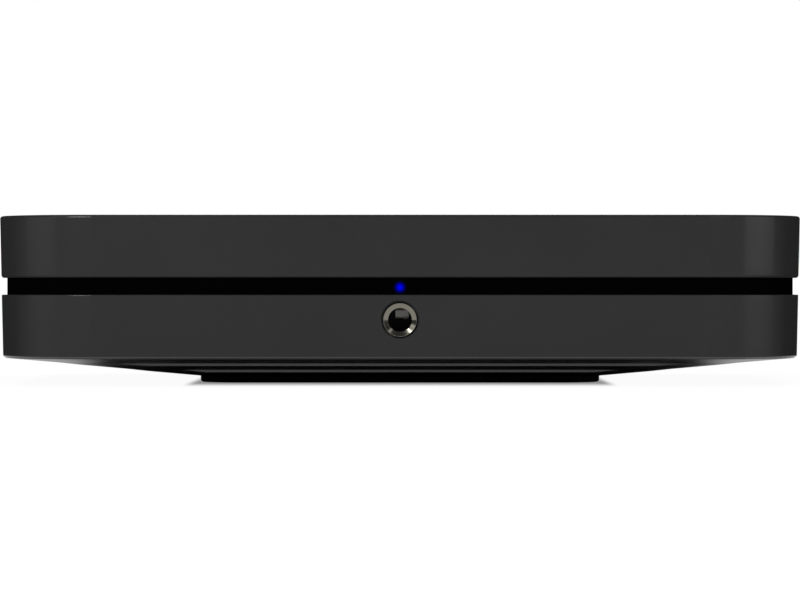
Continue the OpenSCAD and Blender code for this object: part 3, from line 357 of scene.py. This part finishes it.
finishes = {
    "case_plastic": case_plastic(),
    # Painted shade: the band is black plastic, and its tone is darker still for the shade of the groove it
    # sits in
    "band_plastic": moulded("band_plastic", (0.0008, 0.0008, 0.0008), 0.8, grain=2600.0, specular=0.0),
    "foot_rubber": moulded("foot_rubber", (0.003, 0.003, 0.003), 0.85, grain=1800.0, spread=0.1,
                           rough_spread=0.08, bump=(0.4, 0.04 * MM), specular=0.2),
    "panel_plastic": moulded("panel_plastic", (0.012, 0.012, 0.0122), 0.5, grain=2200.0,
                             bump=(0.3, 0.03 * MM)),
    "touch_glass": moulded("touch_glass", (0.003, 0.003, 0.0033), 0.17, grain=300.0, spread=0.05,
                           rough_spread=0.02, bump=(0.0, 0.0), specular=0.18),
    "adhesive": moulded("adhesive", (0.015, 0.015, 0.015), 0.85),
    "green_board": laminate("green_board", (0.01, 0.09, 0.03), (0.03, 0.16, 0.06), 0.35),
    "tan_board": laminate("tan_board", (0.18, 0.12, 0.03), (0.3, 0.2, 0.06), 0.5),
    "cream_plastic": moulded("cream_plastic", (0.75, 0.71, 0.58), 0.45),
    "lamp_blue": lit_lens("lamp_blue", LAMP_TONE, LAMP_AT, LAMP_R),
    "nickel": plated("nickel", (0.62, 0.59, 0.52), 0.14, marks=2400.0),
    "tinplate": plated("tinplate", (0.55, 0.56, 0.57), 0.3, marks=1500.0),
    "gold": plated("gold", (0.8, 0.55, 0.16), 0.22, marks=1800.0),
    "chip_black": moulded("chip_black", (0.012, 0.0125, 0.014), 0.6, grain=2400.0),
    "silicone": moulded("silicone", (0.27, 0.31, 0.38), 0.75),
    "bare_aluminium": plated("bare_aluminium", (0.62, 0.63, 0.64), 0.38, marks=1200.0),
    "capacitor_sleeve": moulded("capacitor_sleeve", (0.03, 0.035, 0.045), 0.28, grain=900.0),
    "antenna_copper": plated("antenna_copper", (0.6, 0.32, 0.12), 0.35),
    "ferrite": moulded("ferrite", (0.02, 0.02, 0.022), 0.7, grain=1600.0, spread=0.15, rough_spread=0.08,
                       bump=(0.5, 0.04 * MM)),
    "winding": moulded("winding", (0.58, 0.37, 0.03), 0.4, grain=500.0, spread=0.15),
    "choke_wire": moulded("choke_wire", (0.28, 0.08, 0.015), 0.3, grain=700.0, spread=0.2),
    "fuse_glass": clear_glass("fuse_glass", (0.92, 0.96, 0.96), 0.03),
    "wire_red": moulded("wire_red", (0.4, 0.02, 0.02), 0.35),
    "white_plastic": moulded("white_plastic", (0.8, 0.8, 0.78), 0.35, grain=1800.0),
    "red_plastic": moulded("red_plastic", (0.5, 0.012, 0.012), 0.35, grain=1800.0),
    "orange_plastic": moulded("orange_plastic", (0.72, 0.19, 0.012), 0.35, grain=1800.0),
    "black_plastic": moulded("black_plastic", (0.008, 0.008, 0.008), 0.3, grain=1800.0),
    "emitter_red": lit_lens("emitter_red", EMITTER_TONE, EMITTER_AT, EMITTER_R),
}
# Painted glow: the band gives off the lamp's light around the lamp, though it is no lamp
glow_about(finishes["band_plastic"], LAMP_TONE, LAMP_AT, LAMP_R, PAINTED_GLOW_R, PAINTED_GLOW, 0.0)


def dress(node, finish):
    """Gives a CAD node one finish in place of its own."""
    slots = nodes[node].data.materials
    slots.clear()
    slots.append(finish)


for part in frame["record"]["subparts"]:
    dress(part["node"], finishes[part["material_slot"]])
# The bush gets a darker copy of the nickel: painted shade, so that what it mirrors comes out dimmer
dress("headphone_bush", plated("shaded_bush_nickel", (0.185, 0.178, 0.148), 0.12, marks=2400.0))

# Sockets and panel at the rear whose sharp edges are broken
BROKEN_EDGES = ("rear_panel", "mains_inlet", "lan_shield", "lan_insert", "usb_shell", "usb_tongue",
                "hdmi_shell", "hdmi_tongue", "optical_body", "audio_in_jack", "trigger_jack",
                "infrared_jack")
for label in BROKEN_EDGES:
    weld = nodes[label].modifiers.new("weld", "WELD")
    weld.merge_threshold = 0.002 * MM
    bevel = nodes[label].modifiers.new("edge", "BEVEL")
    bevel.width = 0.12 * MM
    bevel.segments = 2
    bevel.limit_method = "ANGLE"
    bevel.angle_limit = math.radians(40)
    bevel.harden_normals = True


# Pieces too fine for the solids

def new_piece(name, mesh_maker, finish):
    """A piece from bmesh code, riding on the housing, in a finish for that slot of the record."""
    mesh = bpy.data.meshes.new(name)
    made = bmesh.new()
    mesh_maker(made)
    bmesh.ops.recalc_face_normals(made, faces=made.faces)
    made.to_mesh(mesh)
    made.free()
    piece = bpy.data.objects.new(name, mesh)
    bpy.context.scene.collection.objects.link(piece)
    mesh.materials.append(finish)
    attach(piece, HOUSING)
    return piece


def add_bar(made, low, high, edge):
    """A bar between two corners with its edges broken."""
    size = [h - l for l, h in zip(low, high)]
    middle = [(h + l) / 2 for l, h in zip(low, high)]
    matrix = Matrix.Translation(middle) @ Matrix.Diagonal((*size, 1))
    cube = bmesh.ops.create_cube(made, size=1.0, matrix=matrix)
    edges = {e for v in cube["verts"] for e in v.link_edges}
    bmesh.ops.bevel(made, geom=list(edges), offset=edge, segments=2, affect="EDGES", profile=0.5)


# How far contacts and windows are let into what carries them, and how far contacts stand out
SINK = 0.05 * MM
PROUD = 0.12 * MM
CONTACT_EDGE = 0.03 * MM
# The tongues' lower faces: below the top of one node's box, and below the middle of the other's
USB_FACE_DOWN = 2.3 * MM
HDMI_FACE_DOWN = 0.4 * MM
HDMI_TONGUE_T = 1.2 * MM


def add_contacts(made, box, count, pitch, width, root, tip, z0, z1):
    """A row of flat contacts across a tongue's box, from root past its inner end to tip short of its end
    at the mouth, between the heights z0 and z1."""
    low, high = box
    for i in range(count):
        x = (low.x + high.x) / 2 + (i - (count - 1) / 2) * pitch
        add_bar(made, (x - width / 2, low.y + root, z0), (x + width / 2, high.y - tip, z1), CONTACT_EDGE)


def usb_contacts(made):
    """Four contacts under the tongue."""
    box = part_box("usb_tongue")
    face = box[1].z - USB_FACE_DOWN
    add_contacts(made, box, count=4, pitch=2.3 * MM, width=1.1 * MM, root=3.4 * MM, tip=0.5 * MM,
                 z0=face - PROUD, z1=face + SINK)


def hdmi_contacts(made):
    """Ten contacts on the tongue and nine under it."""
    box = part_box("hdmi_tongue")
    under = (box[0].z + box[1].z) / 2 - HDMI_FACE_DOWN
    top = under + HDMI_TONGUE_T
    for count, z0, z1 in ((10, top - SINK, top + PROUD), (9, under - PROUD, under + SINK)):
        add_contacts(made, box, count, pitch=0.9 * MM, width=0.42 * MM, root=2.9 * MM, tip=0.4 * MM,
                     z0=z0, z1=z1)


WINDOW_W, WINDOW_H = 2.6 * MM, 1.9 * MM
WINDOW_PROUD = 0.25 * MM
WINDOW_EDGE = 0.08 * MM
# From the insert's side to a window's middle, and from its bottom to the window's
WINDOW_IN, WINDOW_UP = 2.2 * MM, 1.4 * MM


def lan_windows(made):
    """Unlit windows on both sides of the network socket's latch slot."""
    low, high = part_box("lan_insert")
    z = low.z + WINDOW_UP
    for x in (low.x + WINDOW_IN, high.x - WINDOW_IN):
        add_bar(made, (x - WINDOW_W / 2, high.y - SINK, z),
                (x + WINDOW_W / 2, high.y + WINDOW_PROUD, z + WINDOW_H), WINDOW_EDGE)


BORE_R = 3.1 * MM
LEAF_DEPTH = 24 * MM
LEAF_LEFT, LEAF_RIGHT = -1.25 * MM, 2.4 * MM
LEAF_STRIPS = 6
LEAF_T = 0.2 * MM
# Millimetres behind the leaf's depth and above the bore's middle, from its free end to its root
LEAF_PROFILE = ((0.1, 0.1), (0.06, 0.4), (0.03, 0.8), (0.01, 1.2), (0.0, 1.7), (-0.01, 2.2), (-0.01, 2.6),
                (0.05, 2.75), (0.4, 2.84), (3.6, 2.86))


def jack_leaf(made):
    """Spring leaf that bears on the plug's tip, bent down from the roof of the headphone bore."""
    _, mouth, middle = face_middle("headphone_bush")
    rows = []
    for back, up in LEAF_PROFILE:
        reach = math.sqrt(BORE_R ** 2 - (up * MM) ** 2)
        left, right = max(LEAF_LEFT, -reach), min(LEAF_RIGHT, reach)
        y, z = mouth + LEAF_DEPTH + back * MM, middle + up * MM
        rows.append([made.verts.new((left + (right - left) * i / LEAF_STRIPS, y, z))
                     for i in range(LEAF_STRIPS + 1)])
    for a, b in zip(rows, rows[1:]):
        for i in range(LEAF_STRIPS):
            made.faces.new((a[i], a[i + 1], b[i + 1], b[i]))


dark_spring = plated("dark_spring", (0.095, 0.093, 0.088), 0.15, marks=2400.0)
new_piece("usb_contacts", usb_contacts, finishes["gold"])
new_piece("hdmi_contacts", hdmi_contacts, finishes["gold"])
new_piece("lan_windows", lan_windows, finishes["cream_plastic"])
leaf = new_piece("jack_leaf", jack_leaf, dark_spring)
thick = leaf.modifiers.new("thickness", "SOLIDIFY")
thick.thickness = LEAF_T
thick.offset = 0.0


# Stage: floor, backdrop card, lights and camera

STAGE_TONE = (0.92, 0.92, 0.92, 1)
FLOOR_HALF = 6.0
CARD_Y, CARD_HALF, CARD_H = 3.0, 0.6, 0.5
# The floor's share of plain white, seen directly: at the foot, and from the shadow's reach on; thinning it
# near the foot paints the shadow's shape there
SHADOW_REACH = 54 * MM
SEEN_NEAR, SEEN_FAR = 0.28, 0.95
# The same in what is mirrored, and the distances between which it comes in; it leaves the floor's shadow in
# reflections near the foot and paints white over it further out
MIRROR_REACH = (24 * MM, 42 * MM)
MIRROR_NEAR, MIRROR_FAR = 0.0, 0.85
# How many times a distance to the side counts, and how far behind the case that has faded out
SIDE_PACE = 14.0
PACE_FADE = 8 * MM


def stage_plane(name, corners):
    mesh = bpy.data.meshes.new(name)
    mesh.from_pydata(corners, [], [(0, 1, 2, 3)])
    plane = bpy.data.objects.new(name, mesh)
    bpy.context.scene.collection.objects.link(plane)
    mat, tree, shader = start_material(name)
    set_plain(shader, {"Base Color": STAGE_TONE, "Roughness": 1.0, "Specular IOR Level": 0.0})
    mesh.materials.append(mat)
    return tree, shader


def show_white(tree, shader, seen_share, mirrored_share):
    """Mixes plain white into what is seen directly and what is mirrored of a stage surface."""
    ray = add(tree, "LightPath").outputs
    seen = calc(tree, "MULTIPLY", ray["Is Camera Ray"], seen_share)
    mirrored = calc(tree, "MAXIMUM", ray["Is Glossy Ray"], ray["Is Transmission Ray"])
    share = calc(tree, "MULTIPLY_ADD", mirrored, mirrored_share, seen)
    white = add(tree, "Emission", [("Color", (1, 1, 1, 1)), ("Strength", 1.0)]).outputs[0]
    both = add(tree, "MixShader", [(0, share), (1, shader.outputs[0]), (2, white)]).outputs[0]
    tree.links.new(both, tree.nodes["Material Output"].inputs["Surface"])


def painted_shadow_share(tree, start, end, near, far, side_pace=1.0):
    """near up to the start distance outside the foot's outline, then rising to far at the end distance;
    used as the floor's share of plain white, this paints the shadow's shape about the foot.
    A distance to either side counts side_pace times, which falls to once behind the case."""
    low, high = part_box("rubber_foot")
    half = ((high.x - low.x) / 2, (high.y - low.y) / 2, 1.0)
    where = own_place(tree)
    past = vector_calc(tree, "SUBTRACT", vector_calc(tree, "ABSOLUTE", where), half)
    out = along_axes(tree, vector_calc(tree, "MAXIMUM", past, (0, 0, 0)))
    pace = ramp(tree, along_axes(tree, where)["Y"], high.y, cad_high.y + PACE_FADE, side_pace, 1.0)
    aside = calc(tree, "MULTIPLY", out["X"], pace)
    paced = add(tree, "CombineXYZ", [("X", aside), ("Y", out["Y"])]).outputs["Vector"]
    gap = vector_calc(tree, "LENGTH", paced, result="Value")
    return ramp(tree, gap, start, end, near, far, "SMOOTHSTEP")


floor, floor_shader = stage_plane("floor", [(-FLOOR_HALF, -FLOOR_HALF, 0), (FLOOR_HALF, -FLOOR_HALF, 0),
                                            (FLOOR_HALF, FLOOR_HALF, 0), (-FLOOR_HALF, FLOOR_HALF, 0)])
# Painted shadow: the floor's white thins out near the foot, in view and in what is mirrored, by distance
# from the foot
show_white(floor, floor_shader, painted_shadow_share(floor, 0.0, SHADOW_REACH, SEEN_NEAR, SEEN_FAR, SIDE_PACE),
           painted_shadow_share(floor, *MIRROR_REACH, MIRROR_NEAR, MIRROR_FAR))
card, card_shader = stage_plane("backdrop", [(-CARD_HALF, CARD_Y, 0), (CARD_HALF, CARD_Y, 0),
                                             (CARD_HALF, CARD_Y, CARD_H), (-CARD_HALF, CARD_Y, CARD_H)])
show_white(card, card_shader, 1.0, 1.0)


def aimed(name, data, place, aim):
    """An object that holds a light or the camera and looks from its place to the aim."""
    holder = bpy.data.objects.new(name, data)
    bpy.context.scene.collection.objects.link(holder)
    holder.location = place
    holder.rotation_euler = (Vector(aim) - Vector(place)).to_track_quat("-Z", "Y").to_euler()
    return holder


overhead = bpy.data.lights.new("overhead", "SUN")
overhead.energy = 2.2
overhead.angle = math.radians(80)
aimed("overhead", overhead, (0, 0.2, 1), (0, 0, 0))

BOX_AIM = (0, 0, 0.02)
# Name, place, power, width and height of each soft box
SOFT_BOXES = (
    ("rear_left", (-0.64, 1.54, 0.72), 5.5, 0.62, 0.7),
    ("front_left", (-0.64, -1.54, 0.66), 18.2, 0.62, 0.7),
    ("side_left", (-1.28, -0.52, 0.25), 1.8, 1.0, 0.6),
    ("rear_right", (0.64, 1.54, 0.72), 5.5, 0.62, 0.7),
    ("front_right", (0.64, -1.54, 0.66), 2.0, 0.62, 0.7),
    ("side_right", (1.28, -0.52, 0.25), 4.3, 1.0, 0.6),
    ("corner_left", (-1.23, -1.18, 0.72), 1.3, 0.5, 0.6),
)
for label, place, power, width, height in SOFT_BOXES:
    lamp = bpy.data.lights.new(label, "AREA")
    lamp.energy = power
    lamp.shape = "RECTANGLE"
    lamp.size = width
    lamp.size_y = height
    aimed(label, lamp, place, BOX_AIM)

world = bpy.data.worlds.new("studio")
bpy.context.scene.world = world
world.use_nodes = True
WORLD_TONE = (0.1, 0.1, 0.1, 1)
world.node_tree.nodes["Background"].inputs["Color"].default_value = WORLD_TONE

# The lens's focal length and the frame's width, in pixels of the picture
FOCAL_PIXELS, FRAME_PIXELS = 3728.0, 800.0
CAMERA_AT = (0.0, -1.073, 0.026)
CAMERA_AIM = (0.0, -0.0723, 0.0231)
camera = bpy.data.cameras.new("camera")
camera.sensor_width = 36.0
camera.lens = FOCAL_PIXELS / FRAME_PIXELS * camera.sensor_width
camera.clip_start = 0.05
camera.clip_end = 50.0
bpy.context.scene.camera = aimed("camera", camera, CAMERA_AT, CAMERA_AIM)
bpy.context.scene.view_settings.view_transform = "Standard"
